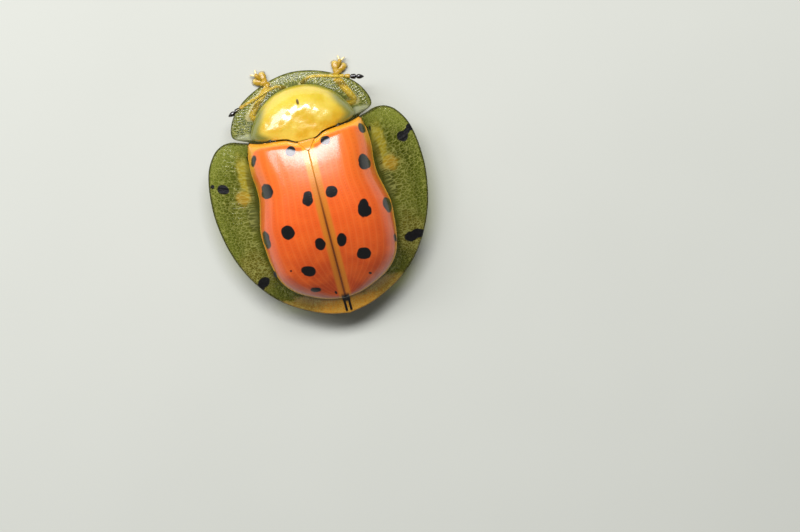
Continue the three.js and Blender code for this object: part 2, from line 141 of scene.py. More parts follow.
def layGrid(bm, columns, rows, spot, discShare=1.0, span=(0.0, 1.0)):
    # a grid whose vertices go where spot(u, v) says; u, v stays as its UV map, and the faces past
    # the disc's share of v take the second material
    made = bmesh.ops.create_grid(bm, x_segments=columns, y_segments=rows, size=0.5)["verts"]
    uvLayer = bm.loops.layers.uv.active
    shares = {v: (v.co.x + 0.5, v.co.y + 0.5) for v in made}
    for face in {f for v in made for f in v.link_faces}:
        face.smooth = True
        centre = sum(shares[v][1] for v in face.verts) / len(face.verts)
        face.material_index = int(centre > discShare)
        for loop in face.loops:
            u, v = shares[loop.vert]
            loop[uvLayer].uv = (mix(span[0], span[1], u), v)
    for vert, share in shares.items():
        vert.co = spot(*share)
    return shares


def pick(values, share):
    at = clamp(share) * (len(values) - 1)
    i = min(int(at), len(values) - 2)
    return mix(values[i], values[i + 1], at - i)


def limb(bm, points, widths, heights, rings, sides, span=(0.0, 1.0)):
    # a closed round limb along a smooth line; its two ends are drawn in to a dome
    line = smoothLine(points)

    def spot(u, v):
        centre, way = line(u)
        across = Vector((0, 0, 1)).cross(way).normalized()
        upward = way.cross(across)
        turn = 2 * math.pi * v
        draw = math.sqrt(max(0.0, 1 - (2 * u - 1) ** 20))
        w, h = pick(widths, u) * draw, pick(heights, u) * draw
        p = centre + across * (math.cos(turn) * w) + upward * (math.sin(turn) * h)
        return place(p.x, p.y, p.z)

    shares = layGrid(bm, rings, sides, spot, span=span)
    bmesh.ops.remove_doubles(bm, verts=list(shares), dist=0.0005 * mm)


def roundBody(bm, centre, halves, wide, high, shape=None):
    # a rounded body of the given half sizes
    made = bmesh.ops.create_uvsphere(bm, u_segments=wide, v_segments=high, radius=1.0)["verts"]
    for face in {f for v in made for f in v.link_faces}:
        face.smooth = True
    if shape:
        for v in made:
            v.co = shape(v.co)
    bmesh.ops.scale(bm, verts=made, vec=Vector(halves) * mm)
    bmesh.ops.translate(bm, verts=made, vec=place(*centre))


def finishPiece(bm, name, materials, nodes=(), closed=True, thickness=0.0):
    bmesh.ops.remove_doubles(bm, verts=bm.verts, dist=0.0003 * mm)
    bmesh.ops.dissolve_degenerate(bm, edges=bm.edges, dist=0.0002 * mm)
    if closed:
        bmesh.ops.recalc_face_normals(bm, faces=bm.faces)
    mesh = bpy.data.meshes.new(name)
    bm.to_mesh(mesh)
    bm.free()
    piece = bpy.data.objects.new(name, mesh)
    bpy.context.scene.collection.objects.link(piece)
    for material in materials:
        mesh.materials.append(material)
    if thickness:
        wall = piece.modifiers.new("wall", "SOLIDIFY")
        wall.thickness = thickness * mm
        wall.offset = -1
        wall.use_even_offset = False
    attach(piece, "root")
    if nodes:
        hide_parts(*nodes)


def hexColor(text):
    values = [int(text[i:i + 2], 16) / 255 for i in (1, 3, 5)]
    return (*[c / 12.92 if c <= 0.04045 else ((c + 0.055) / 1.055) ** 2.4 for c in values], 1.0)


def addNode(tree, kind, *values, named=None, **settings):
    # adds a node; its sockets in use take the values, shades or links given, in order or by name
    node = tree.nodes.new("ShaderNode" + kind)
    for key, value in settings.items():
        setattr(node, key, value)
    pairs = list(zip([s for s in node.inputs if s.enabled], values))
    pairs += [(node.inputs[key], value) for key, value in (named or {}).items()]
    for socket, value in pairs:
        if isinstance(value, bpy.types.Node):
            value = next(s for s in value.outputs if s.enabled)
        if isinstance(value, bpy.types.NodeSocket):
            tree.links.new(value, socket)
        else:
            socket.default_value = hexColor(value) if isinstance(value, str) else value
    return node


def newMaterial(name):
    material = bpy.data.materials.new(name)
    material.use_nodes = True
    material.node_tree.nodes.clear()
    return material, material.node_tree


def objectMillimetres(tree):
    # object coordinates in the beetle's own millimetres, y from the tail, so that the scale of a
    # noise counts its grains to the millimetre
    coord = addNode(tree, "TexCoord").outputs["Object"]
    scaled = addNode(tree, "VectorMath", coord, (1 / mm,) * 3, operation="MULTIPLY")
    return addNode(tree, "VectorMath", scaled, (0, -tailY, 0), operation="ADD")


def maskOf(tree, *parts):
    # product of its parts; one given as (value, low, high) is a smooth step from 0 at low to 1 at high
    product = None
    for part in parts:
        if isinstance(part, tuple):
            part = addNode(tree, "MapRange", *part, interpolation_type="SMOOTHSTEP")
        product = part if product is None else addNode(tree, "Math", product, part, operation="MULTIPLY")
    return product


def paintLayers(tree, color, *layers):
    # lays shade after shade over a colour, each where its mask stands and as strongly as it says
    for mask, strength, shade in layers:
        if strength < 1:
            mask = addNode(tree, "Math", mask, strength, operation="MULTIPLY")
        color = addNode(tree, "Mix", mask, color, shade, data_type="RGBA")
    return color


def offMiddle(tree, value):
    # how far a value lies from the middle of its whole step, 0 to 0.5
    part = addNode(tree, "Math", value, operation="FRACT")
    fromHalf = addNode(tree, "Math", part, 0.5, operation="SUBTRACT")
    return addNode(tree, "Math", fromHalf, operation="ABSOLUTE")


def cuticle(tree, color, relief, height, roughness, coat, coatRoughness=0.06, subsurface=0.0, gloss=0.5):
    # a beetle's horny shell with its wax layer as the coat, both bending light about as chitin does
    bump = addNode(tree, "Bump", 1.0, height * mm, named={"Height": relief})
    return addNode(tree, "BsdfPrincipled", named={
        "Base Color": color,
        "Roughness": roughness,
        "IOR": 1.58,
        "Specular IOR Level": gloss,
        "Coat Weight": coat,
        "Coat Roughness": coatRoughness,
        "Coat IOR": 1.58,
        "Subsurface Weight": subsurface,
        "Subsurface Radius": (0.6, 0.3, 0.1),
        "Subsurface Scale": 0.3 * mm,
        "Normal": bump,
    })


cover = {
    "shoulder": 3.15,
    "gap": 0.15,
    "halfWidth": 6.15,
    "discTail": -0.92,
    "topHeight": 5.2,
    "suture": 0.002,  # half the slit between the two covers
    "frontBend": 0.5,  # length over which the front edge rounds down
    "wall": 0.14,
    "columns": 440,
    "discRows": 56,
    "marginRows": 30,
    "veins": 92,
    "netRows": 8.5,
    "veinHeight": 0.014,
    "rimDrop": 0.07,
}
coverShare = cover["discRows"] / (cover["discRows"] + cover["marginRows"])

pronotumBack = along([(0, -10.0), (0.55, -10.03), (1.05, -10.28), (1.8, -10.41), (2.5, -10.5),
                      (3.2, -10.72), (3.98, -11.12)])


def coverFront(x):
    return pronotumBack(x) + cover["gap"] * 0.5


def pronotumRim(x, y):
    # height of the rim of the neck shield's disc
    return mix(2.72, 4.15 - 0.13 * x * x, smooth(-12.6, -10.2, y))


discEdge = smoothLine([
    (cover["shoulder"], coverFront(cover["shoulder"])), (3.4, -9.75), (3.48, -8.9), (3.4, -8.1),
    (3.42, -7.3), (3.6, -6.5), (3.78, -5.6), (3.74, -4.6), (3.62, -3.6), (3.3, -2.6), (2.7, -1.9),
    (1.8, -1.38), (0.9, -1.05), (cover["suture"], cover["discTail"])])
marginEdge = smoothLine([
    (4.0, -10.95), (4.3, -10.99), (4.7, -10.95), (5.15, -10.72), (5.52, -10.3), (5.82, -9.75),
    (6.02, -9.0), (cover["halfWidth"] - 0.02, -8.1), (cover["halfWidth"], -7.1), (6.02, -6.0),
    (5.78, -4.95), (5.4, -3.95), (4.85, -2.95), (4.15, -2.05), (3.3, -1.3), (2.3, -0.7),
    (1.2, -0.25), (cover["suture"], 0)])
ridgeHeight = along([(-10.2, 4.3), (-9.0, 4.9), (-7.4, cover["topHeight"]), (-5.8, 5.1), (-4.3, 4.65),
                     (-3.0, 3.95), (-2.0, 3.25), (-1.3, 2.75), (-0.9, 2.5)])
rimHeight = along([(0, 3.1), (0.06, 2.85), (0.2, 2.65), (0.6, 2.55), (0.85, 2.45), (1, 2.35)])
marginRim = along([(0, 2.05), (0.15, 1.8), (0.4, 1.62), (0.75, 1.62), (1, 1.75)])


def domePoint(u, t):
    edge = discEdge(u)[0]
    sutureY = mix(coverFront(0), cover["discTail"], u ** 0.92)
    x = mix(cover["suture"], max(edge.x, cover["suture"]), t)
    straightY = mix(sutureY, edge.y, t)
    bend = (coverFront(x) - straightY) * max(0.0, 1 - u * 5) ** 2
    rim = rimHeight(u)
    share = max(0.0, 1 - t ** 3.2) ** 0.6
    z = rim + (ridgeHeight(sutureY) - rim) * share
    uneven = 0.02 * noise.noise(Vector((x * 0.9, straightY * 0.7, 7.3))) * share
    z += uneven - 0.02 * share
    # the front edge bends down to meet the neck shield
    y = straightY + bend
    fromFront = clamp((y - coverFront(x)) / cover["frontBend"])
    drop = max(0.0, z - pronotumRim(x, coverFront(x)) - 0.02)
    return Vector((x, y, z - drop * (1 - math.sqrt(1 - (1 - fromFront) ** 2))))


def veinAt(u, t):
    # how high the veins stand at a place of the clear margin, from 0 to 1
    wander = 0.5 * noise.noise(Vector((u * 30, t * 2.5, 3.1)))
    wave = 0.5 + 0.5 * math.cos(2 * math.pi * (u * cover["veins"] * 0.5 + wander))
    return wave ** 2


def marginPoint(u, t):
    inside, outside = discEdge(u)[0], marginEdge(u)[0]
    outer, inner = marginRim(u), rimHeight(u)
    z = outer + (inner - outer) * (1 - t) ** 1.5
    raised = cover["veinHeight"] * veinAt(u, t) * math.sin(math.pi * clamp(t))
    x = max(mix(inside.x, outside.x, t), cover["suture"])
    # the rim is rounded off, along the side and along the front edge
    rounding = cover["rimDrop"] * (smooth(0.92, 1.0, t) + 1 - smooth(0.0, 0.018, u))
    return Vector((x, mix(inside.y, outside.y, t), z + raised - rounding))


def coverPoint(u, v):
    if v <= coverShare + 1e-6:
        return domePoint(u, min(1.0, v / coverShare))
    return marginPoint(u, (v - coverShare) / (1 - coverShare))


spots = {
    # x, y, half width, half length in mm, and a turn in degrees against the clock
    "left": [
        (3.14, -9.58, 0.15, 0.31, -28), (0.97, -9.55, 0.29, 0.27, 0), (2.78, -7.76, 0.29, 0.42, 14),
        (2.84, -7.6, 0.33, 0.28, 0), (0.68, -6.77, 0.27, 0.43, -14), (0.7, -6.66, 0.31, 0.28, 0),
        (2.2, -5.22, 0.37, 0.4, 10), (3.5, -5.12, 0.21, 0.49, 2), (0.62, -4.17, 0.29, 0.35, 16),
        (1.64, -2.86, 0.42, 0.28, -30), (1.52, -1.74, 0.28, 0.13, -12), (3.54, -3.14, 0.09, 0.19, 6),
        (2.58, -3.1, 0.06, 0.05, 0), (0.47, -1.31, 0.06, 0.09, 0), (5.28, -8.5, 0.34, 0.25, -26),
        (5.84, -8.8, 0.12, 0.11, 0), (4.3, -2.86, 0.36, 0.27, 20), (4.62, -2.62, 0.34, 0.22, 30),
    ],
    "right": [
        (-3.18, -9.92, 0.19, 0.29, 12), (-1.04, -9.68, 0.28, 0.26, 0), (-2.84, -8.04, 0.29, 0.44, 2),
        (-2.86, -7.92, 0.33, 0.3, 0), (-0.7, -6.82, 0.33, 0.33, 0), (-2.2, -5.52, 0.31, 0.5, -16),
        (-2.28, -5.36, 0.35, 0.34, 0), (-3.54, -5.42, 0.22, 0.44, 2), (-0.6, -4.11, 0.27, 0.37, -20),
        (-1.6, -3.08, 0.4, 0.33, -8), (-3.52, -3.5, 0.07, 0.2, 0), (-1.65, -1.95, 0.08, 0.06, 0),
        (-3.62, -9.86, 0.05, 0.15, 0), (-5.3, -9.02, 0.32, 0.3, 0), (-5.6, -9.24, 0.28, 0.15, 40),
        (-5.84, -9.42, 0.22, 0.2, 0), (-4.42, -3.38, 0.42, 0.27, 0), (-4.84, -3.46, 0.4, 0.25, -10),
    ],
}


def spotMask(tree, position, side):
    # 1 inside the black spots; each is an ellipse with a slightly wavering edge about 0.05 mm wide
    waver = addNode(tree, "TexNoise", position, 2.2, 1.0).outputs["Color"]
    shift = addNode(tree, "VectorMath", waver, (0.5, 0.5, 0.5), operation="SUBTRACT")
    small = addNode(tree, "VectorMath", shift, 0.14, operation="SCALE")
    moved = addNode(tree, "VectorMath", small, position, operation="ADD")
    level = addNode(tree, "VectorMath", moved, (1, 1, 0), operation="MULTIPLY")
    nearest = None
    for x, y, halfX, halfY, turn in spots[side]:
        mapped = addNode(tree, "Mapping", level, (x, y, 0), (0, 0, math.radians(turn)),
                         (halfX, halfY, 1), vector_type="TEXTURE")
        distance = addNode(tree, "VectorMath", mapped, operation="LENGTH")
        outside = addNode(tree, "Math", distance, 1.0, operation="SUBTRACT")
        away = addNode(tree, "Math", outside, min(halfX, halfY), operation="MULTIPLY")
        nearest = away if nearest is None else addNode(tree, "Math", nearest, away, operation="MINIMUM")
    return maskOf(tree, (nearest, 0.03, -0.02))


streaks = {
    "offset": 0.13,  # from the suture to the middle of each streak
    "edge": (0.09, 0.05),
    "front": (-1.25, -1.0),
    "tail": (-0.08, -0.2),
    "joinedTo": (-0.62, -0.78),
    "joinedHalf": (0.26, 0.18),
}


def tailStreaks(tree, fromMiddle, y):
    # two short black streaks beside the suture, over the end of the disc and the tail margin
    offset = addNode(tree, "Math", fromMiddle, streaks["offset"], operation="SUBTRACT")
    offLine = addNode(tree, "Math", offset, operation="ABSOLUTE")
    start = (y, *streaks["front"])
    streak = maskOf(tree, (offLine, *streaks["edge"]), start, (y, *streaks["tail"]))
    joined = maskOf(tree, (fromMiddle, *streaks["joinedHalf"]), start, (y, *streaks["joinedTo"]))
    return addNode(tree, "Math", joined, streak, operation="MAXIMUM")


black = "#050405"
lacquer = {
    "front": "#dd6a18",
    "middle": "#d65514",
    "back": "#a83c0e",
    "mottle": "#e2641c",
    # painted highlight along the ridges
    "ridge": "#e88a48",
    # painted shade in the pits
    "pit": "#8a2a06",
    "bandFront": "#dc9a1c",
    "bandBack": "#bd741a",
    "rimBand": "#dc9c1e",
    "sutureLine": "#5a2408",
    "smear": "#7a3c0c",
    "streak": "#0c0706",
    "pitRows": 10,  # on each cover, from the base to the tail
    "pitsInRow": 62,
    "sutureBand": (0.42, 0.26),  # half widths where a band has ended and where it is full
    "sutureSlit": (0.075, 0.035),
    "sutureSmear": (0.2, 0.05),
    "rimWidth": (0.13, 0.03),
    "baseWidth": (0.34, 0.2),
}


def lacquerMaterial(side):
    # Orange cuticle over a milky layer, finely grooved lengthwise: a deep colour under a silky gloss.
    material, tree = newMaterial("orangeCuticle" + side.capitalize())
    position = objectMillimetres(tree)
    split = addNode(tree, "SeparateXYZ", position)
    y = split.outputs["Y"]
    fromMiddle = addNode(tree, "Math", split.outputs["X"], operation="ABSOLUTE")
    shares = addNode(tree, "SeparateXYZ", addNode(tree, "UVMap", uv_map="skin"))
    acrossShare = addNode(tree, "Math", shares.outputs["Y"], coverShare, operation="DIVIDE")
    inset = addNode(tree, "Attribute", attribute_name="inset").outputs["Fac"]
    mottle = addNode(tree, "TexNoise", position, 1.1, 3.0)  # blotches of about 0.9 mm
    # rows of fine pits, not quite evenly spaced, with a low ridge between two rows
    row = offMiddle(tree, addNode(tree, "Math", acrossShare, lacquer["pitRows"], operation="MULTIPLY"))
    even = addNode(tree, "Math", shares.outputs["X"], lacquer["pitsInRow"], operation="MULTIPLY")
    uneven = addNode(tree, "Math", addNode(tree, "TexNoise", position, 1.6), 1.5, operation="MULTIPLY")
    inRow = offMiddle(tree, addNode(tree, "Math", even, uneven, operation="ADD"))
    pit = maskOf(tree, (row, 0.2, 0.04), (inRow, 0.32, 0.1))
    ridge = maskOf(tree, (row, 0.3, 0.48))
    # a yellow band along the suture, and a narrow one round the base, shoulder and sides
    bandColor = paintLayers(tree, lacquer["bandFront"],
                            (maskOf(tree, (y, -8.9, -7.2)), 1, lacquer["bandBack"]))
    rimBand = addNode(tree, "Math", maskOf(tree, (inset, *lacquer["rimWidth"])),
                      maskOf(tree, (inset, *lacquer["baseWidth"]), (y, -8.6, -9.4)), operation="MAXIMUM")
    # the suture line darkens towards the tail
    behind = maskOf(tree, (y, -8.6, -4.5))
    darker = addNode(tree, "Math", behind, 0.88, 0.12, operation="MULTIPLY_ADD")
    color = paintLayers(
        tree, lacquer["front"],
        (maskOf(tree, (y, -9.4, -5.5)), 1, lacquer["middle"]),
        (maskOf(tree, (y, -5.2, -1.2)), 1, lacquer["back"]),
        (maskOf(tree, (mottle, 0.35, 0.75)), 0.5, lacquer["mottle"]),
        # painted highlight on the ridges and painted shade in the pits
        (ridge, 0.1, lacquer["ridge"]),
        (pit, 0.14, lacquer["pit"]),
        (maskOf(tree, (fromMiddle, *lacquer["sutureBand"])), 0.85, bandColor),
        (rimBand, 0.85, lacquer["rimBand"]),
        (maskOf(tree, (fromMiddle, *lacquer["sutureSlit"]), darker), 0.91, lacquer["sutureLine"]),
        (maskOf(tree, (fromMiddle, *lacquer["sutureSmear"]), behind), 0.35, lacquer["smear"]),
        (tailStreaks(tree, fromMiddle, y), 1, lacquer["streak"]),
        (spotMask(tree, position, side), 1, black))
    raised = addNode(tree, "Math", ridge, 0.5, operation="MULTIPLY")
    sunk = addNode(tree, "Math", pit, 0.6, operation="MULTIPLY")
    relief = addNode(tree, "Math", raised, sunk, operation="SUBTRACT")
    shader = cuticle(tree, color, relief, 0.006, roughness=0.36, coat=0.8, coatRoughness=0.19,
                     subsurface=0.06, gloss=0.2)
    addNode(tree, "OutputMaterial", shader)
    return material


clearSkin = {
    "ground": "#5e6218",
    "groundLight": "#747a2a",
    # painted shade of the body lying below, over the inner band of the margin
    "inner": "#44460f",
    "dot": "#2c300c",
    "net": "#c0be6c",
    "rim": "#26240c",
    "glass": "#c6cb84",
    "glassOverLimbs": "#fff8d8",
    "opacity": 0.13,
}


def clearMaterial(name, patches, piece, discShare, side=None):
    # Clear cuticle with a pale net in it: tinted windows let what lies below show through.
    material, tree = newMaterial(name)
    position = objectMillimetres(tree)
    below = addNode(tree, "Attribute", attribute_name="below").outputs["Fac"]
    rim = addNode(tree, "Attribute", attribute_name="rim").outputs["Fac"]
    shares = addNode(tree, "SeparateXYZ", addNode(tree, "UVMap", uv_map="skin"))
    pastDisc = addNode(tree, "Math", shares.outputs["Y"], discShare, operation="SUBTRACT")
    outShare = addNode(tree, "Math", pastDisc, 1 - discShare, operation="DIVIDE")
    cloud = addNode(tree, "TexNoise", position, 0.7, 3.0)  # clouds of about 1.4 mm
    # the net is drawn out along the veins near the body and closes to round cells near the rim
    drawn = addNode(tree, "Math", outShare, 1.6, operation="POWER")
    cellPlace = addNode(tree, "CombineXYZ",
                        addNode(tree, "Math", shares.outputs["X"], piece["veins"], operation="MULTIPLY"),
                        addNode(tree, "Math", drawn, piece["netRows"], operation="MULTIPLY"))
    walls, middles = [addNode(tree, "TexVoronoi", cellPlace, 1.0, named={"Randomness": 0.75}, feature=feature)
                      for feature in ("DISTANCE_TO_EDGE", "F1")]
    dot = maskOf(tree, (middles, 0.3, 0.12), (outShare, 0.45, 0.7))
    thinning = addNode(tree, "Math", cloud, -0.4, 0.8, operation="MULTIPLY_ADD")
    offRim = addNode(tree, "Math", 1.0, rim, operation="SUBTRACT")
    net = maskOf(tree, (walls, 0.11, 0.02), thinning, offRim, (outShare, 0.02, 0.2))
    # painted shade: the inner band next to the disc is darkened where the body lies below
    inner = maskOf(tree, (outShare, 0.2, 0.0))

    color = paintLayers(tree, clearSkin["ground"],
                        (maskOf(tree, (cloud, 0.3, 0.7)), 1, clearSkin["groundLight"]))
    opacity, cloudsAndSheen = clearSkin["opacity"], 0.0
    wavy = addNode(tree, "Math", addNode(tree, "TexNoise", position, 1.7, 2.0), 0.5, operation="SUBTRACT")
    waver = addNode(tree, "Math", wavy, 0.9, operation="MULTIPLY")
    for x, y, halfX, halfY, shade, strength in patches:
        mapped = addNode(tree, "Mapping", position, (x, y, 2.0), (0, 0, 0), (halfX, halfY, 30.0),
                         vector_type="TEXTURE")
        length = addNode(tree, "VectorMath", mapped, operation="LENGTH")
        far = addNode(tree, "Math", length, waver, operation="ADD")
        patch = maskOf(tree, (far, 1.25, 0.55), strength)
        color = paintLayers(tree, color, (patch, 1, shade))
        opacity = addNode(tree, "Math", opacity, patch, operation="MAXIMUM")
        if strength > 0.6:
            cloudsAndSheen = addNode(tree, "Math", cloudsAndSheen, patch, operation="MAXIMUM")
    # the net sinks into the densest clouds, and into the painted reflection at the neck shield's hind corners
    offCloudsAndSheen = addNode(tree, "Math", cloudsAndSheen, -0.55, 1.0, operation="MULTIPLY_ADD")
    net = maskOf(tree, net, offCloudsAndSheen)
    for mask, strength, shade, hiding in (
            (inner, 0.5, clearSkin["inner"], 0.35), (dot, 0.4, clearSkin["dot"], 0.28),
            (net, 1, clearSkin["net"], 0.55), (rim, 1, clearSkin["rim"], 0.85)):
        color = paintLayers(tree, color, (mask, strength, shade))
        opacity = addNode(tree, "Math", opacity, maskOf(tree, mask, hiding), operation="MAXIMUM")
    opacity = maskOf(tree, opacity, addNode(tree, "Math", below, -0.75, 1.0, operation="MULTIPLY_ADD"))
    tint = paintLayers(tree, clearSkin["glass"], (below, 1, clearSkin["glassOverLimbs"]))
    if side:
        split = addNode(tree, "SeparateXYZ", position)
        fromMiddle = addNode(tree, "Math", split.outputs["X"], operation="ABSOLUTE")
        mask = addNode(tree, "Math", spotMask(tree, position, side),
                       tailStreaks(tree, fromMiddle, split.outputs["Y"]), operation="MAXIMUM")
        color = paintLayers(tree, color, (mask, 1, black))
        opacity = addNode(tree, "Math", opacity, mask, operation="MAXIMUM")
    solid = cuticle(tree, color, net, 0.008, roughness=0.45, coat=0.4, coatRoughness=0.08, gloss=0.15)
    clear = addNode(tree, "BsdfTransparent", tint)
    addNode(tree, "OutputMaterial", addNode(tree, "MixShader", opacity, clear, solid))
    return material


def insetAt(x, y, u, t):
    # how far a place of the disc lies inside its edge, along a line with a round shoulder
    corner = 0.9
    fromFront = y - coverFront(x)
    fromSide = (1 - t) * discEdge(u)[0].x
    return corner - math.hypot(max(0.0, corner - fromFront), max(0.0, corner - fromSide))


marginPatches = [
    # x, y, half sizes in mm, colour and strength of the clouded places of the clear margin
    (4.4, -6.0, 0.9, 3.2, "#6e6e1c", 0.45), (4.25, -7.75, 0.55, 0.5, "#a27c16", 0.8),
    (3.95, -6.5, 0.35, 0.9, "#3e4010", 0.75), (3.9, -9.0, 0.5, 1.3, "#b09a22", 0.7),
    (3.7, -8.3, 0.2, 1.0, "#34300c", 0.6), (2.6, -0.9, 2.2, 0.8, "#9a6a1c", 0.8),
    (0.4, -0.5, 1.6, 0.7, "#c4841f", 0.9), (4.6, -3.4, 1.2, 1.4, "#745a16", 0.5),
]


def makeCover(side):
    sign = 1 if side == "left" else -1
    bm = newMesh()
    insetLayer = bm.verts.layers.float.new("inset")
    rimLayer = bm.verts.layers.float.new("rim")
    bm.verts.layers.float.new("below")  # stays 0, as no limb shows through here

    def spot(u, v):
        p = coverPoint(u, v)
        return place(sign * p.x, p.y, p.z)

    rows = cover["discRows"] + cover["marginRows"]
    shares = layGrid(bm, cover["columns"], rows, spot, coverShare)
    for vert, (u, v) in shares.items():
        if v > coverShare:
            out = (v - coverShare) / (1 - coverShare)
            vert[rimLayer] = max(smooth(0.965, 0.985, out), 1 - smooth(0.004, 0.012, u))
        else:
            x, y = planPlace(vert.co)
            vert[insetLayer] = insetAt(abs(x), y, u, v / coverShare)
    if sign > 0:
        bmesh.ops.reverse_faces(bm, faces=bm.faces)
    patches = [(sign * x, *rest) for x, *rest in marginPatches]
    clear = clearMaterial("clearMargin" + side.capitalize(), patches, cover, coverShare, side)
    finishPiece(bm, "wing_cover_" + side, [lacquerMaterial(side), clear],
                ["elytron_" + side, "elytral_margin_" + side], closed=False, thickness=cover["wall"])


scutellum = {
    "halfWidth": 0.46,
    "front": -9.92,
    "tip": -9.36,
    "crown": 0.02,
    "sunk": 0.015,  # under the surface of the covers at its edge
    "wall": 0.08,
    "shades": {"base": "#d08a1c", "deep": "#d08a1c", "edge": "#d08a1c", "light": "#d89628"},
}


def coverTop(x, y):
    # height of the covers at a place near the suture
    low, high = 0.0, 0.4
    for _ in range(16):
        u = (low + high) / 2
        p = domePoint(u, clamp(x / discEdge(u)[0].x))
        low, high = (u, high) if p.y < y else (low, u)
    return p.z


def scutellumWidth(y):
    share = clamp((y - scutellum["front"]) / (scutellum["tip"] - scutellum["front"]))
    return scutellum["halfWidth"] * mix(1, 0.04, share ** 1.15)


# painted shade in the dimple of the neck shield's front slope
shieldPitShade = {"centre": (-0.05, -12.18, 4.0), "halves": (0.07, 0.17, 9.0), "shade": "#5a4210"}
hindLine = "#2a1605"


def shieldMaterial(name, base, deep, edge, light, share=1.0, roughness=0.3, coat=1.0):
    # Golden cuticle over a pale layer: a glassy yellow that turns olive where it thins at its edge.
    material, tree = newMaterial(name)
    position = objectMillimetres(tree)
    split = addNode(tree, "SeparateXYZ", position)
    y = split.outputs["Y"]
    fromMiddle = addNode(tree, "Math", split.outputs["X"], operation="ABSOLUTE")
    cloud = addNode(tree, "TexNoise", position, 0.9, 5.0)  # clouds of about 1.1 mm
    fine = addNode(tree, "TexNoise", position, 7.0, 4.0)  # dimples of about 0.14 mm
    shares = addNode(tree, "SeparateXYZ", addNode(tree, "UVMap", uv_map="skin"))
    outShare = addNode(tree, "Math", shares.outputs["Y"], share, operation="DIVIDE")
    waver = addNode(tree, "Math", cloud, 0.5, operation="SUBTRACT")
    wavy = addNode(tree, "Math", waver, 0.12, outShare, operation="MULTIPLY_ADD")
    thin = addNode(tree, "Math", maskOf(tree, (wavy, 0.72, 0.92), (fromMiddle, 1.6, 2.3)),
                   maskOf(tree, (wavy, 0.9, 1.02), (y, -11.2, -12.2)), operation="MAXIMUM")
    # painted shade in the dimple in the middle of the front slope
    pit = addNode(tree, "Mapping", position, shieldPitShade["centre"], (0, 0, 0), shieldPitShade["halves"],
                  vector_type="TEXTURE")
    fromPit = addNode(tree, "VectorMath", pit, operation="LENGTH")
    rim = addNode(tree, "Attribute", attribute_name="rim").outputs["Fac"]
    color = paintLayers(
        tree, base,
        (maskOf(tree, (y, -12.8, -10.2)), 1, deep),
        (maskOf(tree, (cloud, 0.42, 0.66)), 0.6, light),
        (maskOf(tree, (fine, 0.5, 0.75)), 0.3, light),
        (thin, 1, edge),
        (maskOf(tree, (fromPit, 1.3, 0.7)), 1, shieldPitShade["shade"]),
        (rim, 1, hindLine))
    addNode(tree, "OutputMaterial", cuticle(tree, color, fine, 0.014, roughness=roughness, coat=coat,
                                            coatRoughness=0.15, subsurface=0.12))
    return material


def makeScutellum():
    bm = newMesh()
    bm.verts.layers.float.new("rim")  # stays 0, as this plate has no dark edge

    def spot(u, v):
        y = mix(scutellum["front"], scutellum["tip"], u)
        across = 2 * v - 1
        rise = scutellum["crown"] * (1 - across ** 4) * (1 - u ** 3) - scutellum["sunk"]
        x = scutellumWidth(y) * across
        return place(x, y, coverTop(abs(x), y) + rise)

    layGrid(bm, 40, 32, spot)
    yellow = shieldMaterial("yellowCuticle", **scutellum["shades"], roughness=0.4, coat=0.3)
    finishPiece(bm, "scutellum_plate", [yellow], ["scutellum"], closed=False,
                thickness=scutellum["wall"])


pronotum = {
    "centre": (0, -11.35),
    "top": 4.35,
    "edge": 2.52,
    "veinHeight": 0.02,
    "dimple": 0.06,
    "shades": {"base": "#c8b022", "deep": "#c79a10", "edge": "#74762a", "light": "#d6c04c"},
    "wall": 0.14,
    "columns": 420,
    "discRows": 44,
    "marginRows": 22,
    "veins": 96,
    "netRows": 4.6,
    "rimDrop": 0.06,
    # from the middle of the hind edge to the middle of the front edge: disc x, y and outer x, y
    "half": [
        (0, -10.0, 0, -10.0), (0.55, -10.03, 0.55, -10.03), (1.05, -10.28, 1.05, -10.28),
        (1.75, -10.4, 1.8, -10.41), (2.3, -10.48, 2.5, -10.5), (2.75, -10.64, 3.3, -10.77),
        (2.98, -10.9, 4.0, -11.13), (2.9, -11.25, 4.06, -11.42), (2.62, -11.75, 3.9, -11.95),
        (2.3, -12.2, 3.55, -12.5), (1.85, -12.6, 3.0, -13.0), (1.3, -12.93, 2.2, -13.46),
        (0.7, -13.13, 1.15, -13.84), (0, -13.2, 0, -14.0)],
}


def wholeRing(half):
    return half + [(-x, y) for x, y in half[-2:0:-1]]


discRing = splineSamples(wholeRing([(p[0], p[1]) for p in pronotum["half"]]), closed=True)
outerRing = splineSamples(wholeRing([(p[2], p[3]) for p in pronotum["half"]]), closed=True)
pronotumShare = pronotum["discRows"] / (pronotum["discRows"] + pronotum["marginRows"])


def ringAt(ring, share):
    at = (share % 1.0) * (len(ring) - 1)
    i = min(int(at), len(ring) - 2)
    return ring[i].lerp(ring[i + 1], at - i)


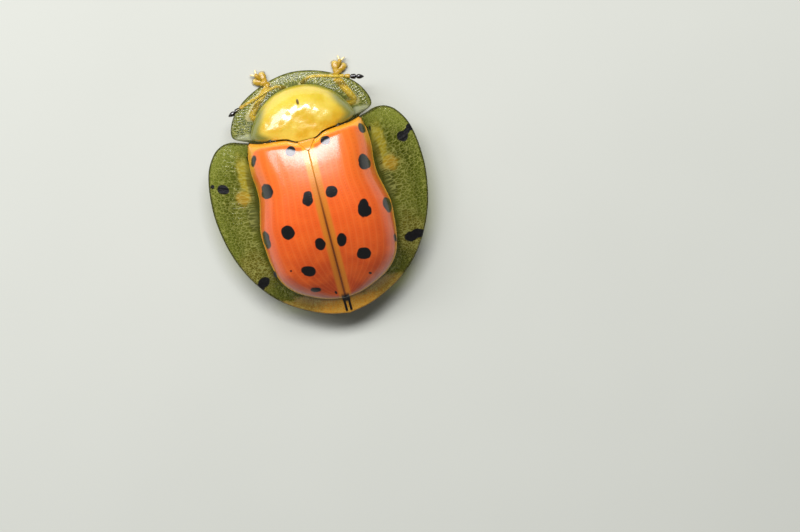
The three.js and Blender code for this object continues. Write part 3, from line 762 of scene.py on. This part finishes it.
def pronotumPoint(u, v):
    edge, outer = ringAt(discRing, u), ringAt(outerRing, u)
    # along the hind edge the clear margin runs out to nothing
    outer = edge.lerp(outer, smooth(0.04, 0.2, (outer - edge).length))
    rim = pronotumRim(edge.x, edge.y)
    if v <= pronotumShare + 1e-6:
        t = min(1.0, v / pronotumShare)
        x = mix(pronotum["centre"][0], edge.x, t)
        y = mix(pronotum["centre"][1], edge.y, t)
        share = max(0.0, 1 - t ** 2.2) ** 0.72
        z = rim + (pronotum["top"] - 0.05 - rim) * share
        dimple = math.exp(-(((x + 0.05) / 0.09) ** 2 + ((y + 12.18) / 0.17) ** 2))
        uneven = (0.08 * noise.noise(Vector((x * 1.1, y * 1.1, 2.6)))
                  + 0.03 * noise.noise(Vector((x * 2.9, y * 2.9, 5.1)))) * share
        return Vector((x, y, z - pronotum["dimple"] * dimple + uneven - 0.04 * share))
    t = (v - pronotumShare) / (1 - pronotumShare)
    width = (outer - edge).length
    low = mix(rim, pronotum["edge"], smooth(0.0, 0.7, width))
    z = low + (rim - low) * (1 - t) ** 1.6
    raised = pronotum["veinHeight"] * pronotumVein(u, t) * math.sin(math.pi * clamp(t)) * clamp(width)
    p = edge.lerp(outer, t)
    rounding = pronotum["rimDrop"] * smooth(0.86, 1.0, t) * clamp(width)
    return Vector((p.x, p.y, z + raised - rounding))


def pronotumVein(u, t):
    # how high the veins stand at a place of the clear margin, from 0 to 1
    turn = 2 * math.pi * u
    wander = 0.6 * noise.noise(Vector((math.cos(turn) * 6, math.sin(turn) * 6, t * 2.5)))
    return (0.5 + 0.5 * math.cos(2 * math.pi * (u * pronotum["veins"] + wander))) ** 4


shieldPatches = [
    # as marginPatches, for the margin of the neck shield; the two pale patches at its hind corners are a
    # painted reflection
    (0, -12.4, 6.0, 3.4, "#3c4412", 0.55), (0, -13.3, 2.4, 0.5, "#424a14", 0.55),
    (3.2, -11.6, 0.7, 0.9, "#4a5418", 0.55), (-3.2, -11.6, 0.7, 0.9, "#4a5418", 0.5),
    # painted reflection: pale patches at the two hind corners
    (3.3, -10.98, 0.8, 0.24, "#aab08c", 0.75), (-3.3, -10.98, 0.8, 0.24, "#aab08c", 0.75),
]


def makePronotum():
    bm = newMesh()
    rimLayer = bm.verts.layers.float.new("rim")
    belowLayer = bm.verts.layers.float.new("below")

    def spot(u, v):
        p = pronotumPoint(u, v)
        return place(p.x, p.y, p.z)

    rows = pronotum["discRows"] + pronotum["marginRows"]
    shares = layGrid(bm, pronotum["columns"], rows, spot, pronotumShare)
    for vert, (u, v) in shares.items():
        width = (ringAt(outerRing, u) - ringAt(discRing, u)).length
        if v > pronotumShare:
            out = (v - pronotumShare) / (1 - pronotumShare)
            vert[rimLayer] = max(smooth(0.95, 0.98, out), 1 - smooth(0.1, 0.3, width))
            vert[belowLayer] = showsBelow(*planPlace(vert.co))
        elif width < 0.5:
            # a dark line along the hind edge, where there is no clear margin
            vert[rimLayer] = smooth(pronotumShare * 0.982, pronotumShare * 0.995, v)
    bmesh.ops.remove_doubles(bm, verts=bm.verts, dist=0.0005 * mm)
    bmesh.ops.recalc_face_normals(bm, faces=bm.faces)
    top = max(bm.faces, key=lambda f: f.calc_center_median().z)
    if top.normal.z < 0:
        bmesh.ops.reverse_faces(bm, faces=bm.faces)
    gold = shieldMaterial("goldenCuticle", **pronotum["shades"], share=pronotumShare)
    clear = clearMaterial("clearShieldMargin", shieldPatches, pronotum, pronotumShare)
    finishPiece(bm, "neck_shield", [gold, clear], ["pronotum_disc", "pronotum_margin"],
                closed=False, thickness=pronotum["wall"])


legs = {
    # plan places of hip, knee, ankle and toe, and the knee's height
    "front_left": ((0.7, -11.35), (2.85, -12.1), (1.42, -13.64), (2.08, -14.6), 1.2),
    "front_right": ((0.7, -11.35), (3.25, -11.6), (2.4, -13.22), (2.97, -14.28), 1.2),
    "middle": ((1.0, -8.75), (3.15, -8.4), (3.85, -7.0), (4.3, -5.95), 1.12),
    "hind": ((1.15, -6.95), (2.75, -5.3), (3.4, -3.8), (3.75, -2.75), 1.12),
}
ankleHeight = 0.52
bellyHeight = 1.45


def legPlaces(pair, side):
    hip, knee, ankle, toe, kneeHeight = legs.get(f"{pair}_{side}") or legs[pair]
    sign = 1 if side == "left" else -1
    heights = (bellyHeight - 0.45, kneeHeight, ankleHeight, 0.2)
    return [Vector((sign * x, y, z)) for (x, y), z in zip((hip, knee, ankle, toe), heights)]


limbShades = {
    # colours of the root half, the outer half and the tip of a limb
    "amberCuticle": ("#c6b036", "#a8861e", "#d2bc60"),
    "clawHorn": ("#e9d9a0", "#b8742c", "#6a3c14"),
    "mouthCuticle": ("#7a4a1c", "#5a3010", "#8a5a24"),
}


def limbMaterial(name, clear=0.12):
    # Thin cuticle with a satin skin: a waxy colour that darkens at the joints.
    base, deep, tip = limbShades[name]
    material, tree = newMaterial(name)
    position = objectMillimetres(tree)
    share = addNode(tree, "SeparateXYZ", addNode(tree, "UVMap", uv_map="skin")).outputs["X"]
    cloud = addNode(tree, "TexNoise", position, 3.0, 3.0)
    color = paintLayers(
        tree, base,
        (maskOf(tree, (share, 0.55, 0.8)), 1, deep),
        (maskOf(tree, (share, 0.93, 1.0)), 1, tip),
        (maskOf(tree, (cloud, 0.5, 0.8)), 0.4, deep))
    grain = addNode(tree, "TexNoise", position, 22.0, 3.0)  # grains of about 0.05 mm
    addNode(tree, "OutputMaterial", cuticle(tree, color, grain, 0.008, roughness=0.42, coat=0.3,
                                            coatRoughness=0.12, subsurface=clear, gloss=0.25))
    return material


legShape = {
    # half widths and half heights of each part, from its root to its end
    "ring": ([0.22, 0.24, 0.2], [0.22, 0.24, 0.2]),
    "thigh": ([0.17, 0.27, 0.31, 0.27, 0.2, 0.14], [0.16, 0.25, 0.28, 0.25, 0.19, 0.14]),
    "shin": ([0.13, 0.19, 0.21, 0.23, 0.26, 0.22], [0.12, 0.15, 0.16, 0.17, 0.19, 0.16]),
    "hip": (0.42, 0.36, 0.38),
    "bristles": 14,  # round each pad
    "bristle": [0.014, 0.01, 0.003],
    "claw": [0.06, 0.055, 0.04, 0.012],
    "clawLine": [(0.88, 0.05, 0.3), (0.99, 0.13, 0.29), (1.06, 0.19, 0.2), (1.08, 0.2, 0.08)],
}
footParts = [
    # places as share of the foot's length, sideways and height; half widths; half heights; rings,
    # sides; and the part's span along the colouring of the leg. One that ends off the middle is a pair
    ([(-0.02, 0, 0.5), (0.12, 0, 0.38), (0.26, 0, 0.26)], [0.12, 0.2, 0.22, 0.12],
     [0.12, 0.17, 0.17, 0.1], 16, 20, (0.74, 0.78)),
    ([(0.2, 0, 0.3), (0.34, 0, 0.22), (0.48, 0, 0.18)], [0.12, 0.24, 0.29, 0.16],
     [0.11, 0.16, 0.16, 0.1], 16, 20, (0.78, 0.84)),
    ([(0.4, 0.06, 0.2), (0.58, 0.2, 0.15), (0.8, 0.3, 0.13)], [0.1, 0.19, 0.22, 0.2, 0.1],
     [0.1, 0.13, 0.13, 0.12, 0.07], 20, 20, (0.84, 0.99)),
    ([(0.5, 0, 0.24), (0.72, 0, 0.33), (0.93, 0, 0.3)], [0.07, 0.08, 0.1, 0.13, 0.1],
     [0.07, 0.08, 0.09, 0.11, 0.08], 18, 16, (0.84, 0.93)),
]


def makeLeg(pair, side, material, hornMaterial):
    hip, knee, ankle, toe = legPlaces(pair, side)
    bm = newMesh()
    outward = (knee - hip).normalized()
    roundBody(bm, hip + Vector((0, 0, 0.12)), legShape["hip"], 28, 18)
    limb(bm, [hip + outward * 0.15, hip + outward * 0.42], *legShape["ring"], 10, 20, (0.0, 0.1))
    middle = hip.lerp(knee, 0.5) + Vector((0, 0, 0.06))
    limb(bm, [hip + outward * 0.36, middle, knee], *legShape["thigh"], 40, 24, (0.1, 0.45))
    # the shin is bent a little and widens to its end
    down = (ankle - knee).normalized()
    shinMiddle = knee.lerp(ankle, 0.5) + Vector((0, 0, 0.05))
    limb(bm, [knee + down * 0.02, shinMiddle, ankle], *legShape["shin"], 40, 24, (0.5, 0.72))
    flat = Vector(((toe - ankle).x, (toe - ankle).y, 0))
    forward = flat.normalized()
    sideways = Vector((-forward.y, forward.x, 0))

    def spot(share, across, z):
        return ankle + forward * (flat.length * share) + sideways * across + Vector((0, 0, z - ankleHeight))

    # foot: two short joints, a split pad and the claw joint
    for points, *rest in footParts:
        for s in (-1, 1) if points[-1][1] else (1,):
            limb(bm, [spot(share, s * across, z) for share, across, z in points], *rest)
    # soles of fine bristles round the pads
    count, thin = legShape["bristles"], legShape["bristle"]
    for s in (-1, 1):
        for k in range(count):
            turn = math.pi * (k / (count - 1) - 0.5)
            root = spot(0.66 + 0.12 * math.cos(turn), s * (0.26 + 0.16 * math.sin(turn)), 0.12)
            tip = root + (forward * math.cos(turn) * 0.12 + sideways * (s * math.sin(turn) * 0.12))
            tip.z = 0.02
            limb(bm, [root, root.lerp(tip, 0.5) + Vector((0, 0, 0.01)), tip], thin, thin, 4, 5, (0.9, 1.0))
    nodes = [f"leg_{pair}_{side}_{part}" for part in ("femur", "tibia", "tarsus")]
    finishPiece(bm, f"leg_{pair}_{side}", [material], nodes)
    claws = newMesh()
    for s in (-1, 1):
        points = [spot(share, s * across, z) for share, across, z in legShape["clawLine"]]
        limb(claws, points, legShape["claw"], legShape["claw"], 18, 12)
    finishPiece(claws, f"claws_{pair}_{side}", [hornMaterial])


feelerLine = [(0.42, -13.2, 1.6), (0.95, -13.42, 1.56), (1.6, -13.3, 1.56), (2.3, -13.05, 1.58),
              (2.9, -12.85, 1.6), (3.45, -12.66, 1.62), (4.02, -12.46, 1.62)]
feelerJoints = {
    # length shares and half thicknesses of the eleven joints, root first
    "lengths": [1.3, 0.7, 0.95, 0.95, 0.95, 0.9, 0.95, 0.95, 0.95, 0.95, 1.35],
    "radii": [0.16, 0.11, 0.1, 0.1, 0.105, 0.11, 0.12, 0.13, 0.14, 0.15, 0.14],
    "black": 2,
    "waist": 0.08,
}


def feelerPoints(side):
    sign, sweep = (1, 0.0) if side == "left" else (-1, 0.09)
    return [Vector((sign * x, y - sweep * x, z)) for x, y, z in feelerLine]


def makeAntenna(side, material, hornMaterial):
    line = smoothLine(feelerPoints(side))
    total = sum(feelerJoints["lengths"])
    waistRadii = [feelerJoints["waist"]] * 2
    shaft, club = newMesh(), newMesh()
    start = 0.0
    count = len(feelerJoints["lengths"])
    for i, (length, radius) in enumerate(zip(feelerJoints["lengths"], feelerJoints["radii"])):
        end = start + length / total
        target = club if i >= count - feelerJoints["black"] else shaft
        points = [line(mix(start, end, s))[0] for s in (0.03, 0.35, 0.65, 0.97)]
        profile = [0.8, 0.88, 0.95, 1.0, 1.0, 0.9] if i < count - 1 else [0.7, 0.95, 1.0, 0.85, 0.55, 0.15]
        radii = [radius * p for p in profile]
        limb(target, points, radii, radii, 18, 20, (start, end))
        if i:
            waist = [line(start + s * 0.02)[0] for s in (-0.5, 0.5)]
            limb(target, waist, waistRadii, waistRadii, 4, 10, (start, start))
        start = end
    finishPiece(shaft, "feeler_" + side, [material], ["antenna_" + side])
    finishPiece(club, "feeler_tip_" + side, [hornMaterial], ["antenna_club_" + side])


def segmentsBelow():
    found = []
    for side in ("left", "right"):
        hip, knee, ankle, toe = legPlaces("front", side)
        found += [(hip, knee, 0.26), (knee, ankle, 0.25), (ankle, toe, 0.25)]
        pts = feelerPoints(side)
        found += [(a, b, 0.13) for a, b in zip(pts, pts[1:])]
    return found


lyingBelow = segmentsBelow()


def showsBelow(x, y):
    # 1 where a leg or a feeler lies close under the clear margin of the neck shield
    best = 0.0
    p = Vector((x, y))
    for a, b, half in lyingBelow:
        a2, b2 = a.to_2d(), b.to_2d()
        way = b2 - a2
        t = clamp((p - a2).dot(way) / way.length_squared)
        distance = (p - (a2 + way * t)).length
        best = max(best, 1 - smooth(half * 0.75, half * 1.25, distance))
    return best


head = {
    # centre and half sizes of each rounded part, and how finely it is divided
    "skull": ((0, -12.8, 1.62), (0.9, 0.38, 0.56), 48, 32),
    "muzzle": ((0, -13.04, 1.3), (0.4, 0.24, 0.32), 32, 20),
    "socket": ((0.4, -13.14, 1.6), (0.16, 0.12, 0.16), 20, 12),
    "eye": ((0.88, -12.82, 1.72), (0.26, 0.32, 0.38), 40, 28),
    "lip": ((0, -13.12, 0.93), (0.28, 0.16, 0.12), 24, 14),
    "jaw": ([0.12, 0.13, 0.05], [0.1, 0.1, 0.04]),
    "jawLine": [(0.3, -13.06, 0.86), (0.26, -13.16, 0.74), (0.08, -13.2, 0.62)],
    # joints of the palps: from, to and half thickness
    "palps": [((0.3, -13.04, 0.76), (0.46, -13.1, 0.66), 0.075),
              ((0.46, -13.1, 0.66), (0.54, -13.16, 0.54), 0.08),
              ((0.54, -13.16, 0.54), (0.57, -13.2, 0.47), 0.055)],
}


hornShades = ("#0a0808", "#1c1410")


def darkMaterial(name):
    # Black horn, polished: a hard small glint.
    material, tree = newMaterial(name)
    position = objectMillimetres(tree)
    cloud = addNode(tree, "TexNoise", position, 4.0, 2.0)
    color = paintLayers(tree, hornShades[0], (cloud, 1, hornShades[1]))
    facets = addNode(tree, "TexVoronoi", position, 22.0)  # facets of about 0.05 mm
    addNode(tree, "OutputMaterial", cuticle(tree, color, facets, 0.006, roughness=0.16, coat=0.6))
    return material


def makeHead(skin, mouthSkin, eyeSkin):
    bm = newMesh()

    def skull(co):
        # flat in front, with a furrow down the brow
        y = max(co.y, -0.82)
        furrow = 0.12 * math.exp(-(co.x / 0.12) ** 2) * smooth(0.0, -0.6, co.y)
        return Vector((co.x, y + furrow, co.z))

    def mirrored(part, s):
        (x, y, z), *rest = head[part]
        return (s * x, y, z), *rest

    roundBody(bm, *head["skull"], shape=skull)
    roundBody(bm, *head["muzzle"])
    for s in (-1, 1):
        roundBody(bm, *mirrored("socket", s))
    finishPiece(bm, "head_capsule", [skin], ["head"])
    for side, s in (("left", 1), ("right", -1)):
        eye = newMesh()
        roundBody(eye, *mirrored("eye", s))
        finishPiece(eye, "eyeball_" + side, [eyeSkin], ["eye_" + side])
    mouth = newMesh()
    roundBody(mouth, *head["lip"])
    for s in (-1, 1):
        jaw = [(s * x, y, z) for x, y, z in head["jawLine"]]
        limb(mouth, jaw, *head["jaw"], 16, 16)
        for a, b, r in head["palps"]:
            ends = [Vector((s * x, y, z)) for x, y, z in (a, b)]
            radii = [r * 0.7, r, r * 0.8]
            limb(mouth, ends, radii, radii, 10, 14)
    finishPiece(mouth, "mouth_parts", [mouthSkin], ["mouthparts"])


trunk = {
    "front": -12.35,
    "back": -1.05,
    # where the grooves between the rings of the body lie, and how deep they are drawn
    "grooves": [(-10.3, 0.18), (-8.0, 0.1), (-6.35, 0.16), (-5.2, 0.08), (-4.2, 0.08), (-3.3, 0.08),
                (-2.4, 0.08)],
    "rings": 260,
    "sides": 96,
    "shades": ("#c98f2e", "#8a5a1c"),
    "seam": "#4a2c0c",
}
trunkWidth = along([(-12.35, 1.35), (-11.6, 1.6), (-10.6, 1.72), (-10.25, 1.7), (-9.9, 2.55), (-8.9, 2.7),
                    (-7.4, 2.66), (-6.0, 2.85), (-4.8, 2.95), (-3.6, 2.8), (-2.6, 2.4), (-1.8, 1.7),
                    (-1.05, 0.25)])
trunkTop = along([(-12.35, 2.0), (-11.0, 2.5), (-10.25, 2.75), (-9.9, 3.3), (-9.0, 4.1), (-7.4, 4.4),
                  (-5.8, 4.3), (-4.3, 3.85), (-3.0, 3.15), (-2.0, 2.45), (-1.05, 2.0)])


def undersideMaterial():
    # Brownish yellow belly cuticle, finely wrinkled: a waxy satin with darker seams.
    material, tree = newMaterial("bellyCuticle")
    position = objectMillimetres(tree)
    cloud = addNode(tree, "TexNoise", position, 1.6, 4.0)
    groove = addNode(tree, "Attribute", attribute_name="groove").outputs["Fac"]
    pale, brown = trunk["shades"]
    color = paintLayers(tree, pale, (cloud, 1, brown), (groove, 1, trunk["seam"]))
    wrinkle = addNode(tree, "TexNoise", position, 14.0, 4.0)  # wrinkles of about 0.07 mm
    shader = cuticle(tree, color, wrinkle, 0.02, roughness=0.4, coat=0.3, subsurface=0.1)
    addNode(tree, "OutputMaterial", shader)
    return material


def grooveAt(y):
    return max(math.exp(-((y - at) / 0.05) ** 2) * depth for at, depth in trunk["grooves"])


def makeTrunk():
    bm = newMesh()
    grooveLayer = bm.verts.layers.float.new("groove")

    def spot(u, v):
        y = mix(trunk["front"], trunk["back"], u)
        turn = 2 * math.pi * v
        close = math.sqrt(max(0.0, 1 - (2 * u - 1) ** 30))
        wide, high = trunkWidth(y) * close, trunkTop(y)
        c, s = math.cos(turn), math.sin(turn)
        x = math.copysign(abs(c) ** 0.8, c) * wide
        t = abs(x) / max(trunkWidth(y), 1e-6)
        step = 0.12 if y > -6.35 else 0.06
        floor = bellyHeight + 0.06 + step + 0.75 * t ** 5 + 0.2 * (1 - t) * smooth(-9.5, -3, y)
        middle = mix(floor, high, 0.35)
        z = middle + (high - middle) * s * close if s > 0 else middle + (middle - floor) * s * close
        return place(x, y, z + grooveAt(y) * 0.6 * (1 if s < 0.2 else 0))

    shares = layGrid(bm, trunk["rings"], trunk["sides"], spot)
    for vert, (u, v) in shares.items():
        vert[grooveLayer] = clamp(grooveAt(mix(trunk["front"], trunk["back"], u)) * 7)
    finishPiece(bm, "belly", [undersideMaterial()], ["thorax", "abdomen", "prothorax"])


makeTrunk()
print("belly made")
limbSkin = limbMaterial("amberCuticle")
clawSkin = limbMaterial("clawHorn", clear=0.05)
blackHorn = darkMaterial("blackHorn")
for pair in ("front", "middle", "hind"):
    for side in ("left", "right"):
        makeLeg(pair, side, limbSkin, clawSkin)
print("legs made")
for side in ("left", "right"):
    makeAntenna(side, limbSkin, blackHorn)
makeHead(limbSkin, limbMaterial("mouthCuticle"), darkMaterial("eyeHorn"))
print("head made")
makePronotum()
makeScutellum()
for side in ("left", "right"):
    makeCover(side)
print("covers made")


camera = {
    "pixelsPerMm": 17.8,
    "imageWidth": 800,
    "roll": 14.0,
    "centre": (-3.386, -1.906),
    "height": 160.0,
    "subjectHeight": 3.0,
    "sensor": 36.0,
}


def makeCamera():
    data = bpy.data.cameras.new("camera")
    frameWidth = camera["imageWidth"] / camera["pixelsPerMm"]
    data.sensor_width = camera["sensor"]
    data.lens = camera["sensor"] * (camera["height"] - camera["subjectHeight"]) / frameWidth
    data.clip_start = 1 * mm
    data.clip_end = 10
    item = bpy.data.objects.new("camera", data)
    bpy.context.scene.collection.objects.link(item)
    item.location = place(*camera["centre"], camera["height"])
    # looking straight down, the head towards the picture's top, rolled with the beetle
    item.rotation_euler = (0, 0, math.radians(180 - camera["roll"]))
    bpy.context.scene.camera = item


ground = {"half": 400, "shades": ("#b4b7ac", "#babdb2"), "roughness": 0.9}


def makeFloor():
    bm = bmesh.new()
    bmesh.ops.create_grid(bm, x_segments=1, y_segments=1, size=ground["half"] * mm)
    mesh = bpy.data.meshes.new("floor")
    bm.to_mesh(mesh)
    bm.free()
    item = bpy.data.objects.new("floor", mesh)
    bpy.context.scene.collection.objects.link(item)
    material, tree = newMaterial("paleFloor")
    grain = addNode(tree, "TexNoise", named={"Scale": 60.0})
    color = paintLayers(tree, ground["shades"][0], (grain, 1, ground["shades"][1]))
    surface = addNode(tree, "BsdfPrincipled", named={"Base Color": color, "Roughness": ground["roughness"]})
    addNode(tree, "OutputMaterial", surface)
    mesh.materials.append(material)


lamps = {
    # azimuth (0 stands before the head, 90 at the beetle's left), elevation, distance, width, height,
    # power and colour
    "window": (-2, 60, 170, 160, 56, 0.46, "#fbf9ff"),
    "side": (52, 40, 170, 80, 60, 0.12, "#f6f4ff"),
}
worldLight = {"color": "#e8e8e6", "strength": 0.2}


def makeLamp(name, azimuth, elevation, distance, width, height, power, color):
    data = bpy.data.lights.new(name, "AREA")
    data.shape = "RECTANGLE"
    data.size = width * mm
    data.size_y = height * mm
    data.energy = power
    data.color = hexColor(color)[:3]
    item = bpy.data.objects.new(name, data)
    bpy.context.scene.collection.objects.link(item)
    a, e = math.radians(azimuth), math.radians(elevation)
    way = Vector((math.sin(a) * math.cos(e), -math.cos(a) * math.cos(e), math.sin(e)))
    item.location = place(0, -7, 3) + way * distance * mm
    item.rotation_euler = way.to_track_quat("Z", "Y").to_euler()


def makeStudio():
    for name, values in lamps.items():
        makeLamp(name, *values)
    world = bpy.data.worlds.new("studio")
    bpy.context.scene.world = world
    world.use_nodes = True
    world.node_tree.nodes.clear()
    background = addNode(world.node_tree, "Background", worldLight["color"], worldLight["strength"])
    addNode(world.node_tree, "OutputWorld", background)


makeCamera()
makeFloor()
makeStudio()
bpy.context.scene.view_settings.view_transform = "Standard"
print("studio made")
